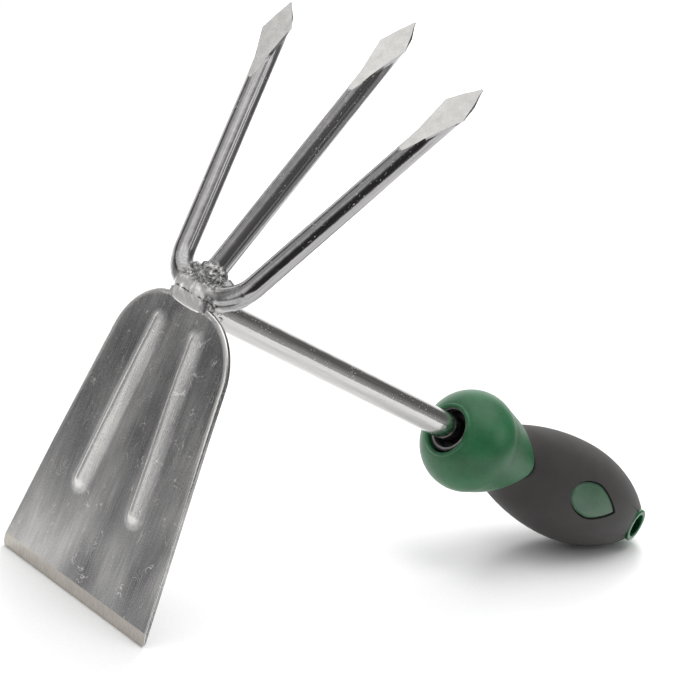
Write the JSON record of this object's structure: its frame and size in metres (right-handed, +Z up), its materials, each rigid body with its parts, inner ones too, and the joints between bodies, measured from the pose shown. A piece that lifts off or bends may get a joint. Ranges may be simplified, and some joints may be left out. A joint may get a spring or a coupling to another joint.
{
  "type": "hand cultivator",
  "caption": "Short hand cultivator: a flared hoe blade with pressed ribs and a fork of round tines welded to a shaft in a soft-grip handle.",
  "frame": {"origin": "on the floor under the middle of the tool as it rests on its cutting edge and the grip's belly", "axes": "+X from the head towards the handle along the floor, +Y across the tool, +Z up; the tines stand up and the blade hangs down"},
  "size_m": [0.2686, 0.1068, 0.2006],
  "materials": {
    "blade_steel": "satin stainless sheet, brushed along its length",
    "rod_steel": "bright polished stainless rod",
    "weld_steel": "uneven weld bead, polished over",
    "shaft_steel": "bright polished stainless bar",
    "ring_steel": "dull thin steel",
    "black_plastic": "matt black",
    "green_plastic": "hard green plastic, half gloss",
    "badge_green": "hard green plastic, satin",
    "grey_grip": "soft matt grey grip"
  },
  "bodies": {
    "root": {"hoe_blade": "blade_steel", "outer_tines": "rod_steel", "centre_tine": "rod_steel", "blade_weld": "weld_steel", "tine_weld": "weld_steel", "shaft_weld": "weld_steel", "shaft": "shaft_steel", "mouth_bush": "black_plastic", "mouth_ring": "ring_steel", "handle_core": "green_plastic", "grip_sleeve": "grey_grip", "badge_left": "badge_green", "badge_right": "badge_green"}
  },
  "joints": []
}
